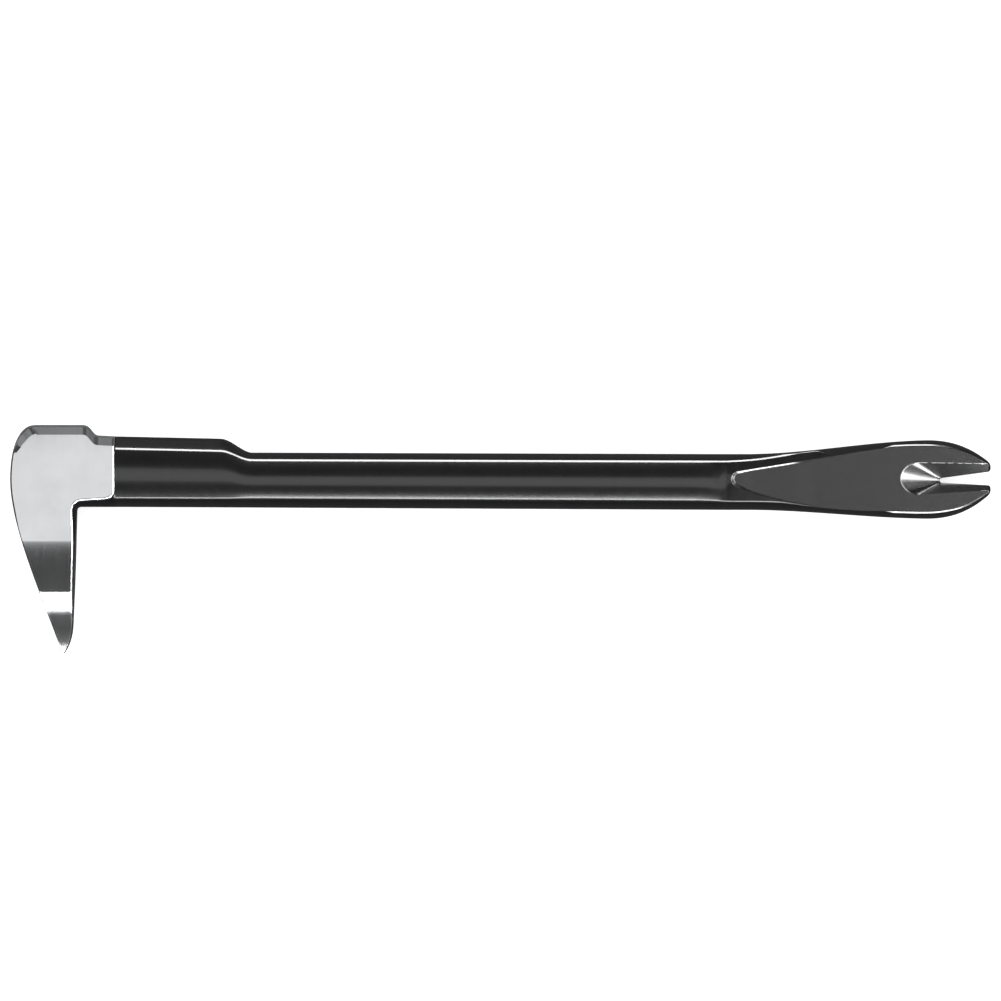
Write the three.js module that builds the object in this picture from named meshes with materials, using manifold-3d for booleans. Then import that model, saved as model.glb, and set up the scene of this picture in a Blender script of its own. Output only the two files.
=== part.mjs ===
// A one-piece forged pry bar for pulling nails, lying on its side on a bench.
// X runs along the bar from the claw head to the notched blade, Y points from the claw's tip to the
// striking face, and Z is the thickness of the bar, with Z = 0 on the ground cheek that it lies on.
// All sizes are in millimetres. The bar is one forging: its three nodes are the three zones that differ
// in shape and finish, and they meet face to face on flat planes across the bar.
import * as THREE from 'three';
import { ConvexGeometry } from 'three/addons/geometries/ConvexGeometry.js';
import { mergeVertices } from 'three/addons/utils/BufferGeometryUtils.js';
import Module from 'manifold-3d';

// ---- driving dimensions ----
const LENGTH = 280;              // overall, along X
const HEIGHT = 65.2;             // from the claw's tip to the striking face, along Y
const CHEEK_THICKNESS = 17;      // across the two ground cheeks of the head
const STOCK_THICKNESS = 16;      // across the crowned faces of the shank
const TIP_THICKNESS = 3.2;       // of the blade at the ends of its two tines

const HEAD_JOIN_X = -110;        // plane between the bright head and the black shank
const BLADE_JOIN_X = 64;         // plane between the shank and the blade

const SHANK_TOP = [24.72, 24.3];       // Y of the top edge after the neck and at the blade
const SHANK_BOTTOM = [9.17, 8.33];     // Y of the bottom edge at the head and at the blade
const NECK_TOP = [29.35, 28.7];        // Y of the neck's top edge at the head and before its step
const NECK_STEP = [-80.2, -71];        // X range over which the neck steps down to the shank

const BEVEL = 2.1;               // width and depth of the bevel under the shank and round the throat
const CROWN = 1.05;              // how far the broad faces bulge above their bevelled edges

const FLARE = [70, 124];         // X range over which the blade widens
const FLARE_TOP = 4;             // how far the top edge rises in the flare
const FLARE_BOTTOM = 2.55;       // how far the bottom edge falls in the flare
const NOSE_START_X = 121;        // where the outline starts to close towards the tines
const NOSE_TOP = 6.7;            // how far the top edge falls by the end of the blade
const NOSE_BOTTOM = 7.3;         // how far the bottom edge rises by the end of the blade
const NOSE_POWER = 2.4;

const TONGUE_X = 65.65;          // tip of the U-shaped start of the blade's inclined flat
const TONGUE_END_X = 94;         // where the U has widened to the whole face
const TONGUE_CURVE = 2;          // the U is a parabola: half its width squared is this times the distance
const RELIEF = 0.25;             // how far the shank's faces are cut back round the tip of the tongue

// Width and depth of the bevels along each edge, from the neck to the tines.
const TOP_BEVEL = { neck: [3.8, 3.05], shank: [2.45, 2.2], blade: [1.75, 1.45] };
const BOTTOM_BEVEL = { neck: [BEVEL, BEVEL], shank: [BEVEL, BEVEL], blade: [2.1, 1.7] };
const PINCH = { x: 90, size: [0.9, 0.9] };     // where the bevels are narrowest, beside the tongue
const BLADE_BEVEL_X = 112;                     // where they have grown again
const TINE_BEVEL = [0.9, 0.7];

const SLOT = { rootX: 125.4, rootY: 16.75, rootHalf: 0.62, rise: 0.04, spread: 0.093 };
const SLOT_LAND = 1;             // thickness of the two nail-gripping edges beside the slot
const POCKET = { endX: 114.1, centreY: 17.3, halfWidth: 4.6, roundLength: 5.4 };

const CLAW_NOTCH = { rootY: -12, rootHalf: 0.8, mouthHalf: 2.05 };
const HEAD_BEVEL = { width: 2.8, height: 2.2 };
const THROAT = { x: -120.2, y: 8.1 };          // where the throat's small corner starts and ends

// How far each cheek is ground back at each height on the head, from the striking face to the claw's tip.
const CHEEK_TAPER = [
  [33.6, 0.62], [25.3, 0.18], [18, 0], [-0.4, 0], [-8, 0.75], [-15.1, 1.88], [-20.9, 3.68], [-25.2, 4.46],
  [-29.5, 5.28], [-33.6, 6.35],
];

// ---- dimensions that follow ----
const LEFT = -LENGTH / 2;
const RIGHT = LENGTH / 2;
const FACE_Y = HEIGHT / 2;
const TIP_Y = -HEIGHT / 2;
const CHEEK = CHEEK_THICKNESS / 2;
const CROWN_TOP = STOCK_THICKNESS / 2;
const EDGE = CROWN_TOP - CROWN;
const FLAT_SLOPE = (CROWN_TOP - TIP_THICKNESS / 2) / (RIGHT - TONGUE_X);
const OVERSHOOT = 12;            // how far cutting solids run past what they cut

const wasm = await Module();
wasm.setup();

// ---- solids: three.js geometry in, three.js geometry out, joined and cut between ----
function solidOf(geometry) {
  const bare = geometry.clone();
  bare.deleteAttribute('normal');
  bare.deleteAttribute('uv');
  const merged = mergeVertices(bare);
  const vertProperties = new Float32Array(merged.attributes.position.array);
  const triVerts = new Uint32Array(merged.index.array);
  return new wasm.Manifold(new wasm.Mesh({ numProp: 3, vertProperties, triVerts }));
}

function geometryOf(solid) {
  const mesh = solid.getMesh();
  const geometry = new THREE.BufferGeometry();
  geometry.setAttribute('position', new THREE.BufferAttribute(mesh.vertProperties, 3));
  geometry.setIndex(new THREE.BufferAttribute(mesh.triVerts, 1));
  geometry.computeVertexNormals();
  return geometry;
}

// A box from its lowest to its highest corner.
function block(low, high) {
  const size = high.map((value, axis) => value - low[axis]);
  const geometry = new THREE.BoxGeometry(...size);
  geometry.translate(...high.map((value, axis) => (value + low[axis]) / 2));
  return solidOf(geometry);
}

// An outline in the XY plane, extruded the same way up and down from the bar's mid-plane.
function plate(outline, halfThickness, bevel = null) {
  const settings = { depth: 2 * halfThickness, bevelEnabled: false, curveSegments: 12 };
  if (bevel) {
    settings.depth = 2 * (halfThickness - bevel.height);
    settings.bevelEnabled = true;
    settings.bevelSize = bevel.width;
    settings.bevelThickness = bevel.height;
    settings.bevelOffset = -bevel.width;
    settings.bevelSegments = 1;
  }
  const geometry = new THREE.ExtrudeGeometry(outline, settings);
  geometry.translate(0, 0, -settings.depth / 2);
  return solidOf(geometry);
}

// A profile given as [y, z] points, extruded along X.
function prismAlongX(profile, fromX, toX) {
  const shape = new THREE.Shape(profile.map(([y, z]) => new THREE.Vector2(y, z)));
  const geometry = new THREE.ExtrudeGeometry(shape, { depth: toX - fromX, bevelEnabled: false });
  geometry.applyMatrix4(new THREE.Matrix4().makeBasis(
    new THREE.Vector3(0, 1, 0), new THREE.Vector3(0, 0, 1), new THREE.Vector3(1, 0, 0)));
  geometry.translate(fromX, 0, 0);
  return solidOf(geometry);
}

// A skin through a row of sections across the bar, closed with a flat cap at each end.
function loft(stations, sectionAt) {
  const rings = stations.map(sectionAt);
  const count = rings[0].length;
  const positions = [];
  const index = [];
  stations.forEach((x, row) => rings[row].forEach(([y, z]) => positions.push(x, y, z)));
  for (let row = 0; row + 1 < rings.length; row += 1) {
    for (let here = 0; here < count; here += 1) {
      const next = (here + 1) % count;
      const [a, b, c, d] = [row * count + here, row * count + next,
        (row + 1) * count + next, (row + 1) * count + here];
      index.push(a, c, b, a, d, c);
    }
  }
  const last = (rings.length - 1) * count;
  for (let corner = 1; corner + 1 < count; corner += 1) {
    index.push(0, corner, corner + 1, last, last + corner + 1, last + corner);
  }
  const geometry = new THREE.BufferGeometry();
  geometry.setAttribute('position', new THREE.Float32BufferAttribute(positions, 3));
  geometry.setIndex(index);
  return solidOf(geometry);
}

// ---- the bar's edges and thickness along X, for the shank and the blade ----
const mix = THREE.MathUtils.lerp;
const ease = THREE.MathUtils.smoothstep;
const along = THREE.MathUtils.inverseLerp;

function topEdge(x) {
  const neck = mix(...NECK_TOP, along(HEAD_JOIN_X, NECK_STEP[0], Math.min(x, NECK_STEP[0])));
  const shank = mix(...SHANK_TOP, along(NECK_STEP[1], BLADE_JOIN_X, THREE.MathUtils.clamp(x,
    NECK_STEP[1], BLADE_JOIN_X)));
  const nose = Math.max(0, along(NOSE_START_X, RIGHT, x)) ** NOSE_POWER;
  return mix(neck, shank, ease(x, ...NECK_STEP)) + FLARE_TOP * ease(x, ...FLARE) - NOSE_TOP * nose;
}

function bottomEdge(x) {
  const shank = mix(...SHANK_BOTTOM, along(HEAD_JOIN_X, BLADE_JOIN_X, Math.min(x, BLADE_JOIN_X)));
  const nose = Math.max(0, along(NOSE_START_X, RIGHT, x)) ** NOSE_POWER;
  return shank - FLARE_BOTTOM * ease(x, ...FLARE) + NOSE_BOTTOM * nose;
}

// Height of the blade's inclined flat above the mid-plane.
function flatHeight(x) {
  return CROWN_TOP - FLAT_SLOPE * (x - TONGUE_X);
}

// Height of the inner edge of the bevels. Beside the tongue it sinks below the flat, then joins it.
function edgeHeight(x) {
  if (x >= TONGUE_END_X) {
    return flatHeight(x);
  }
  const drop = EDGE - flatHeight(TONGUE_END_X);
  const reach = Math.max(0, along(BLADE_JOIN_X, TONGUE_END_X, x));
  return EDGE - RELIEF * ease(x, BLADE_JOIN_X, TONGUE_X + 1) - (drop - RELIEF) * reach ** 1.3;
}

// Width and depth of one edge's bevel at a place along the bar.
function bevelAt(x, bevel) {
  return [0, 1].map((part) => {
    const shank = mix(bevel.neck[part], bevel.shank[part], ease(x, ...NECK_STEP));
    const pinched = mix(shank, PINCH.size[part], ease(x, TONGUE_X, PINCH.x));
    const blade = mix(pinched, bevel.blade[part], ease(x, PINCH.x, BLADE_BEVEL_X));
    return mix(blade, TINE_BEVEL[part], Math.max(0, along(NOSE_START_X, RIGHT, x)));
  });
}

// Half of a section across the bar, from one side face over the crown to the other, and its mirror image.
function sectionAt(x) {
  const [lowWidth, lowDepth] = bevelAt(x, BOTTOM_BEVEL);
  const [highWidth, highDepth] = bevelAt(x, TOP_BEVEL);
  const edge = edgeHeight(x);
  const crown = CROWN * (1 - ease(x, BLADE_JOIN_X, TONGUE_END_X));
  const low = bottomEdge(x);
  const high = topEdge(x);
  const face = [-1, -0.5, 0, 0.5, 1].map((across) => [
    mix(low + lowWidth, high - highWidth, (across + 1) / 2),
    edge + crown * (1 - across * across),
  ]);
  const upper = [[low, edge - lowDepth], ...face, [high, edge - highDepth]];
  const lower = upper.map(([y, z]) => [y, -z]).reverse();
  return [...upper, ...lower];
}

function stationsBetween(from, to, count) {
  return Array.from({ length: count + 1 }, (_, step) => mix(from, to, step / count));
}

// ---- shank: crowned bar stock with a raised neck beside the head ----
function buildShank() {
  const neckStep = stationsBetween(...NECK_STEP, 8);
  return loft([HEAD_JOIN_X, ...neckStep, BLADE_JOIN_X], sectionAt);
}

// ---- notched blade ----
// The U-shaped start of the inclined flat: a parabola that opens towards the tines. It stands a little
// proud of the shank's relieved faces and runs out level with them where it reaches the bevels.
function tongueLand() {
  const centre = (topEdge(TONGUE_X) + bottomEdge(TONGUE_X)) / 2 + 0.3;
  const arm = (side) => stationsBetween(0, 1, 10).map((step) => {
    const distance = (TONGUE_END_X - TONGUE_X) * step * step;
    return new THREE.Vector2(TONGUE_X + distance, centre + side * Math.sqrt(TONGUE_CURVE * distance));
  });
  const outline = new THREE.Shape([...arm(-1).reverse().slice(0, -1), ...arm(1)]);
  const wedge = new THREE.Shape([
    new THREE.Vector2(TONGUE_X, 0), new THREE.Vector2(TONGUE_END_X, 0),
    new THREE.Vector2(TONGUE_END_X, flatHeight(TONGUE_END_X)), new THREE.Vector2(TONGUE_X, CROWN_TOP),
  ]);
  const body = new THREE.ExtrudeGeometry(wedge, { depth: 2 * HEIGHT, bevelEnabled: false });
  body.rotateX(Math.PI / 2);
  body.translate(0, HEIGHT, 0);
  return plate(outline, CROWN_TOP).intersect(solidOf(body));
}

function slotEdges(x) {
  const centre = SLOT.rootY + SLOT.rise * (x - SLOT.rootX);
  const half = SLOT.rootHalf + SLOT.spread * (x - SLOT.rootX);
  return [centre - half, centre + half];
}

function slotOutline() {
  const start = SLOT.rootX + SLOT.rootHalf;
  const end = RIGHT + OVERSHOOT;
  const [startLow, startHigh] = slotEdges(start);
  const [endLow, endHigh] = slotEdges(end);
  const outline = new THREE.Shape();
  outline.moveTo(end, endLow);
  outline.lineTo(end, endHigh);
  outline.lineTo(start, startHigh);
  outline.bezierCurveTo(SLOT.rootX, startHigh, SLOT.rootX, startLow, start, startLow);
  return outline;
}

// A funnel from the pocket's outline on the inclined flat down to the land beside the slot.
function pocketCutter() {
  const points = [];
  for (const spot of slotOutline().getPoints(6)) {
    points.push(new THREE.Vector3(spot.x, spot.y, SLOT_LAND / 2));
  }
  const roundX = POCKET.endX + POCKET.roundLength;
  const rim = stationsBetween(-Math.PI / 2, Math.PI / 2, 12).map((angle) => [
    roundX - POCKET.roundLength * Math.cos(angle), POCKET.centreY + POCKET.halfWidth * Math.sin(angle),
  ]);
  rim.push([RIGHT + OVERSHOOT, POCKET.centreY + POCKET.halfWidth - 0.3]);
  rim.push([RIGHT + OVERSHOOT, POCKET.centreY - POCKET.halfWidth + 1.4]);
  for (const [x, y] of rim) {
    points.push(new THREE.Vector3(x, y, Math.max(flatHeight(x), SLOT_LAND)));
    points.push(new THREE.Vector3(x, y, CROWN_TOP));
  }
  return solidOf(new ConvexGeometry(points));
}

function buildNotchedBlade() {
  const flare = stationsBetween(TONGUE_END_X, NOSE_START_X, 6);
  const stations = [BLADE_JOIN_X, TONGUE_X + 1, 72, 78, 84, PINCH.x, ...flare];
  const nose = stationsBetween(NOSE_START_X, RIGHT, 8).slice(1);
  const land = tongueLand();
  const pocket = pocketCutter();
  return loft([...stations, ...nose], sectionAt)
    .add(land).add(land.mirror([0, 0, 1]))
    .subtract(pocket).subtract(pocket.mirror([0, 0, 1]))
    .subtract(plate(slotOutline(), CHEEK_THICKNESS));
}

// ---- claw head ----
// The left edge of the head, from the claw's tip up to the corner of the striking face.
function traceLeftEdge(outline) {
  outline.lineTo(-125.4, TIP_Y);
  outline.bezierCurveTo(-131.2, -15.7, LEFT, 4, LEFT, 17);
  outline.bezierCurveTo(LEFT, 24, -138.5, FACE_Y, -133, FACE_Y);
}

// The striking face and the short slope down to the neck.
function traceTop(outline, endX) {
  outline.lineTo(-119.4, FACE_Y);
  outline.bezierCurveTo(-117.2, FACE_Y, -117.2, 29.6, -114.8, 29.6);
  outline.lineTo(endX, NECK_TOP[0]);
}

function headOutline(endX) {
  const outline = new THREE.Shape();
  outline.moveTo(endX, SHANK_BOTTOM[0]);
  outline.lineTo(THROAT.x, SHANK_BOTTOM[0]);
  outline.quadraticCurveTo(-121.22, SHANK_BOTTOM[0], -121.24, THROAT.y);
  outline.lineTo(-122.3, -24.6);
  outline.bezierCurveTo(-122.5, -28.5, -123.6, -31, -124.8, TIP_Y);
  traceLeftEdge(outline);
  traceTop(outline, endX);
  return outline;
}

// The ground cheek keeps clear of the throat, where the bevel of the shank runs on round the corner.
function cheekOutline(endX) {
  const outline = new THREE.Shape();
  outline.moveTo(endX, 13.4);
  outline.quadraticCurveTo(endX, 11.4, -112.8, 11.3);
  outline.lineTo(-119.6, 10.9);
  outline.quadraticCurveTo(-122.3, 10.7, -122.35, THROAT.y - 0.4);
  outline.lineTo(-122, 0);
  outline.lineTo(-122.3, -15);
  outline.lineTo(-122.3, -24.6);
  outline.bezierCurveTo(-122.5, -28.5, -123.6, -31, -124.8, TIP_Y);
  traceLeftEdge(outline);
  traceTop(outline, endX);
  return outline;
}

function polygon(corners) {
  return new THREE.Shape(corners.map(([x, y]) => new THREE.Vector2(x, y)));
}

// Follows the head's top edge only, so that its bevel fades out down the head's left side.
function topBevelOutline(endX) {
  return polygon([
    [endX, TIP_Y - OVERSHOOT], [endX, NECK_TOP[0]], [-114.4, 29.5], [-118.6, FACE_Y], [-133.4, FACE_Y],
    [-137.2, 31.2], [-139.6, 28.4], [LEFT - 4, 18], [LEFT - OVERSHOOT, TIP_Y - OVERSHOOT],
  ]);
}

// Follows the throat only, where the bevel of the shank runs on down the claw's inner edge.
function throatBevelOutline(endX) {
  const past = FACE_Y + OVERSHOOT;
  return polygon([
    [endX, SHANK_BOTTOM[0]], [endX, past], [LEFT - OVERSHOOT, past], [LEFT - OVERSHOOT, -past],
    [-122.9, -past], [-122.3, -24.6], [-120.9, SHANK_BOTTOM[0]],
  ]);
}

// The head seen from its end: cheeks that are flat beside the neck, fall away a little towards the
// striking face, and taper in towards the claw's tip in ground facets.
function clawTaper() {
  const half = CHEEK_TAPER.map(([y, drop]) => [y, CHEEK - drop]);
  const mirrored = half.map(([y, z]) => [y, -z]).reverse();
  return prismAlongX([...half, ...mirrored], LEFT - OVERSHOOT, HEAD_JOIN_X + OVERSHOOT);
}

function clawNotch() {
  const { rootY, rootHalf, mouthHalf } = CLAW_NOTCH;
  const mouth = TIP_Y - 1;
  return prismAlongX([
    [rootY, -rootHalf / 2], [rootY, rootHalf / 2], [rootY - rootHalf, rootHalf],
    [mouth, mouthHalf], [mouth, -mouthHalf], [rootY - rootHalf, -rootHalf],
  ], LEFT - OVERSHOOT, HEAD_JOIN_X);
}

function buildClawHead() {
  const past = HEAD_JOIN_X + OVERSHOOT;
  const throatBevel = plate(throatBevelOutline(past), EDGE, { width: BEVEL, height: BEVEL });
  const core = plate(headOutline(past), EDGE).intersect(throatBevel);
  const topBevel = plate(topBevelOutline(past), CHEEK, HEAD_BEVEL);
  const zone = block(
    [LEFT - OVERSHOOT, TIP_Y - 1, -CHEEK_THICKNESS],
    [HEAD_JOIN_X, FACE_Y + 1, CHEEK_THICKNESS],
  );
  const head = plate(cheekOutline(past), CHEEK).add(core);
  return head.intersect(topBevel).intersect(clawTaper()).subtract(clawNotch()).intersect(zone);
}

// ---- the assembled bar ----
const groundSteel = { color: 0xc9cbcd, roughness: 0.25, metalness: 1 };
const blackCoating = { color: 0x232425, roughness: 0.42, metalness: 0.3 };

function namedMesh(name, solid, finish) {
  const mesh = new THREE.Mesh(geometryOf(solid), new THREE.MeshStandardMaterial(finish));
  mesh.name = name;
  mesh.position.z = CHEEK;
  return mesh;
}

const pryBar = new THREE.Group();
pryBar.name = 'pry_bar';
pryBar.add(namedMesh('claw_head', buildClawHead(), groundSteel));
pryBar.add(namedMesh('shank', buildShank(), blackCoating));
pryBar.add(namedMesh('notched_blade', buildNotchedBlade(), blackCoating));

export default pryBar;
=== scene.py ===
"""Looks for a one-piece forged pry bar that lies on its side on a pale floor.

Every shape is worked out in millimetres in the bar's own frame: X runs from the claw head to the notched
blade, Y from the claw's tip to the striking face, and Z is measured up and down from the bar's mid-plane,
about which the forging is symmetric. A piece is skinned through a row of stations. At each station a line
of points runs over the upper surface from one edge of the bar to the other, and its mirror image runs
under it. The finished points are moved into the frame, in metres, by place().
"""
import math

import bmesh
import bpy
import numpy as np
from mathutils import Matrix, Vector


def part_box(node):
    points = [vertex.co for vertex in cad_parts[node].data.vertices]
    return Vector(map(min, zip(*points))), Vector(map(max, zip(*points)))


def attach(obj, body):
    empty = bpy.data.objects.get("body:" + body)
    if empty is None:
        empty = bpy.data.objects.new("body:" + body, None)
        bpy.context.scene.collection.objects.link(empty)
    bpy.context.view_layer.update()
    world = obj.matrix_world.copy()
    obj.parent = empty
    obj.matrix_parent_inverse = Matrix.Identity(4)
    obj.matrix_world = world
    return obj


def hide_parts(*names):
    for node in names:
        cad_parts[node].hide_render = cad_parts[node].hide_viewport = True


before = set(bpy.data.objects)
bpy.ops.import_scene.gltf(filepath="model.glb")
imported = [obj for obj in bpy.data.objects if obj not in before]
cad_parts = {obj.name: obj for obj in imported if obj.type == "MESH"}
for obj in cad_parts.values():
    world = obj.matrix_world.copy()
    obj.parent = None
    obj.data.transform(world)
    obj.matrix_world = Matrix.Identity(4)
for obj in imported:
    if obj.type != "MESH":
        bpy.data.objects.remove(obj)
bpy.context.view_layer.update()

# ---- sizes from the frame, in millimetres ----
MM = 0.001
head_low, head_high = (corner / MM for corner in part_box("claw_head"))
shank_low, shank_high = (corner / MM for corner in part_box("shank"))
blade_low, blade_high = (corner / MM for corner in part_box("notched_blade"))

LEFT, RIGHT = head_low.x, blade_high.x
TIP_Y, FACE_Y = head_low.y, head_high.y
HEAD_JOIN_X, BLADE_JOIN_X = shank_low.x, shank_high.x
MID_Z = (head_low.z + head_high.z) / 2
CHEEK = (head_high.z - head_low.z) / 2
CROWN_TOP = (shank_high.z - shank_low.z) / 2

# ---- shape values, most of them the same as the part's ----
SHANK_TOP = (24.72, 24.3)
SHANK_BOTTOM = (9.17, 8.33)
NECK_TOP = (29.35, 28.7)
NECK_STEP = (-80.2, -71.0)
CROWN = 1.05
EDGE = CROWN_TOP - CROWN
NECK_BEVEL = 3.8
TOP_BEVEL = 2.45
BOTTOM_BEVEL = 2.1
NECK_STEEPNESS = 0.85
FLARE = (70.0, 124.0)
FLARE_TOP = 4.0
FLARE_BOTTOM = 2.55
NOSE_START_X = 121.0
NOSE_TOP = 6.7
NOSE_BOTTOM = 7.3
NOSE_POWER = 2.4
TIP_HALF = 1.6
TONGUE_X, TONGUE_Y = 65.65, 17.2
FLAT_SLOPE = (CROWN_TOP - TIP_HALF) / (RIGHT - TONGUE_X)
SPARE = 3.0                          # cutting outlines run on this far past the tips of the tines
SLOT_ROOT_X, SLOT_ROOT_Y = 125.4, 16.75
SLOT_RISE = 0.04
SLOT_SPREAD = 0.093
SLOT_ROOT_HALF = 0.62
SLOT_LAND = 0.5                      # half the thickness of the edges beside the slot
POCKET_X, POCKET_Y = 114.1, 17.3
POCKET_HALF = 4.6
POCKET_ROUND = 5.4
POCKET_DRAFT = {-1: 1.4, 1: 0.3}     # how far each side of the pocket closes in towards the tines' tips
THROAT_X, THROAT_Y = -120.2, 8.1
NOTCH_ROOT_Y = -12.0
NOTCH_ROOT_HALF = 0.8
NOTCH_MOUTH_HALF = 1.9               # a little narrower than in the part
HEAD_BEVEL_WIDTH = 2.8
HEAD_BEVEL_HEIGHT = 2.2
TOP_TAPER_Y = 18.0
TOP_TAPER = 3.7                      # degrees that the cheeks fall away at the striking face

# ---- the edge of the blade's flat: a U round the tongue, then a line beside the outline ----
TONGUE_RADIUS = 2.15
UPPER_ARM = ((67.45, 19.3), (110.5, 26.2))
LOWER_ARM = ((67.2, 15.1), (77.5, 10.0), (92.0, 8.0), (113.6, 8.0))
RING_SLOPE = math.tan(math.radians(11))
RING_X = (64.5, 76.0)                # where the crowned face turns into plain slopes beside the tongue
PINCH_X = 92.0                       # where the top bevel has run out
UPPER_BAND_X = (90.0, 95.0)          # where a bevel comes back in above the flat
RING_END_X = (98.0, 104.0)
BLADE_BEVEL_TOP = 1.75
BLADE_BEVEL_BOTTOM = 2.1
TINE_BEVEL = 0.9
LIP_WIDTH = (0.8, 0.5)
LIP_SLOPE = (0.28, 0.33)             # at the nose and along the arms
LIP_END_X = (82.0, 92.0)
DIP = 0.5                            # the face sinks this far before it rises to the nose of the U
DIP_REACH = 10.0
DIP_RISE = 2.0
LINE_WIDTH = 0.6                     # narrow chamfer between a broad face and its bevel
TOP_LINE_SLOPE = 0.53
BOTTOM_LINE_SLOPE = 0.33
LINE_GAP_X = (84.0, 90.0, 109.0, 112.0)   # the chamfer is missing between the middle two
LIP_DROP = 0.2                       # the ground cheek rounds down this far at its border
LIP_REACH = 0.7

# ---- roundings ----
RIM = 0.55               # corner between the broad faces and the side walls
CLAW_RIM = 0.3
CREASE = 0.5             # blend between two facets
CRISP = 0.02             # the same where an edge is crisp
VALLEY = 0.3             # blend where the face turns up to the nose of the U
STEP = 0.3               # width of the ramp up to the ground cheek
POCKET_CREASE = 0.03
TIP_ROUND = 1.0          # length over which a tine rounds off
SHARP = math.radians(25) # faces that meet at a larger angle show a crisp edge
WELD = 0.003             # points closer than this are one


# ---- small helpers ----
def at(x, y):
    """The plan points at one station for an array of y."""
    return np.stack([np.full_like(y, x), y], 1)


def mix(a, b, share):
    return a + (b - a) * share


def reach(start, end, value):
    """How far value has come from start to end, held between 0 and 1."""
    return np.clip((value - start) / (end - start), 0.0, 1.0)


def ease(start, end, value):
    share = reach(start, end, value)
    return share * share * (3 - 2 * share)


def soft_min(a, b, blend):
    share = np.clip(0.5 + 0.5 * (b - a) / blend, 0.0, 1.0)
    return b * (1 - share) + a * share - blend * share * (1 - share)


def spaced(*stops):
    """Numbers through a row of stops: value, count, value, count, value ..."""
    values = [np.array([stops[0]])]
    for start, count, end in zip(stops[0::2], stops[1::2], stops[2::2]):
        values.append(np.linspace(start, end, int(count) + 1)[1:])
    return np.concatenate(values)


def bezier(start, first, second, end, count=24):
    share = np.linspace(0, 1, count + 1)[:, None]
    start, first, second, end = (np.array(point, float) for point in (start, first, second, end))
    return ((1 - share) ** 3 * start + 3 * (1 - share) ** 2 * share * first
            + 3 * (1 - share) * share ** 2 * second + share ** 3 * end)


def polyline(*runs):
    """Joins runs of points that each start where the last one ended."""
    parts = [np.atleast_2d(np.array(runs[0], float))]
    for run in runs[1:]:
        run = np.atleast_2d(np.array(run, float))
        parts.append(run[1:] if np.allclose(run[0], parts[-1][-1]) else run)
    return np.concatenate(parts)


def nearest_on(line, points):
    """For each point the nearest place on an open polyline and the distance to it."""
    start, step = line[:-1], np.diff(line, axis=0)
    offset = points[:, None, :] - start[None, :, :]
    share = np.clip((offset * step).sum(2) / (step * step).sum(1), 0.0, 1.0)
    away = np.linalg.norm(offset - share[:, :, None] * step, axis=2)
    best = away.argmin(1)
    rows = np.arange(len(points))
    return start[best] + share[rows, best][:, None] * step[best], away[rows, best]


def distance_to(line, points):
    return nearest_on(line, points)[1]


def ray_length(origin, direction, line):
    """How far each ray runs before it meets a polyline, or a long way where it never does."""
    start, step = line[:-1], np.diff(line, axis=0)
    offset = start[None, :, :] - origin[:, None, :]
    cross = direction[:, None, 0] * step[:, 1] - direction[:, None, 1] * step[:, 0]
    cross = np.where(np.abs(cross) < 1e-9, 1e-9, cross)
    along = (offset[:, :, 0] * step[:, 1] - offset[:, :, 1] * step[:, 0]) / cross
    share = (offset[:, :, 0] * direction[:, None, 1] - offset[:, :, 1] * direction[:, None, 0]) / cross
    meets = (along > 1e-6) & (share >= -1e-6) & (share <= 1 + 1e-6)
    return np.where(meets, along, 1e3).min(1)


def inside(loop, points):
    """True for each point inside a closed polyline."""
    x, y = points[:, 0][:, None], points[:, 1][:, None]
    (x0, y0), (x1, y1) = loop.T, np.roll(loop, -1, axis=0).T
    crosses = (y0 > y) != (y1 > y)
    rise = np.where(y1 == y0, 1.0, y1 - y0)
    return (crosses & (x < (x1 - x0) * (y - y0) / rise + x0)).sum(1) % 2 == 1


# ---- edges and thickness of the shank and the blade ----
def nose(x):
    return reach(NOSE_START_X, RIGHT, x) ** NOSE_POWER


def top_edge(x):
    neck = mix(*NECK_TOP, reach(HEAD_JOIN_X, NECK_STEP[0], x))
    shank = mix(*SHANK_TOP, reach(NECK_STEP[1], BLADE_JOIN_X, x))
    return mix(neck, shank, ease(*NECK_STEP, x)) + FLARE_TOP * ease(*FLARE, x) - NOSE_TOP * nose(x)


def bottom_edge(x):
    shank = mix(*SHANK_BOTTOM, reach(HEAD_JOIN_X, BLADE_JOIN_X, x))
    return shank - FLARE_BOTTOM * ease(*FLARE, x) + NOSE_BOTTOM * nose(x)


def flat_height(x):
    return CROWN_TOP - FLAT_SLOPE * (x - TONGUE_X)


def outline(x, side):
    return top_edge(x) if side > 0 else bottom_edge(x)


def arm_line(side):
    """From the nose of the U along one of its arms."""
    turn = np.linspace(math.pi, math.pi / 2 if side > 0 else 1.5 * math.pi, 25)
    xs = TONGUE_X + TONGUE_RADIUS * (1 + np.cos(turn))
    rounded = np.stack([xs, TONGUE_Y + TONGUE_RADIUS * np.sin(turn)], 1)
    if side > 0:
        return polyline(rounded[rounded[:, 0] < UPPER_ARM[0][0]], [UPPER_ARM[0], UPPER_ARM[1]])
    return polyline(rounded[rounded[:, 0] < LOWER_ARM[0][0]], bezier(*LOWER_ARM, 40))


ARM_LINES = {1: arm_line(1), -1: arm_line(-1)}
U_LINE = polyline(ARM_LINES[-1][::-1], ARM_LINES[1])
U_LOOP = polyline([(RIGHT, ARM_LINES[-1][-1][1])], U_LINE, [(RIGHT, ARM_LINES[1][-1][1])])


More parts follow.
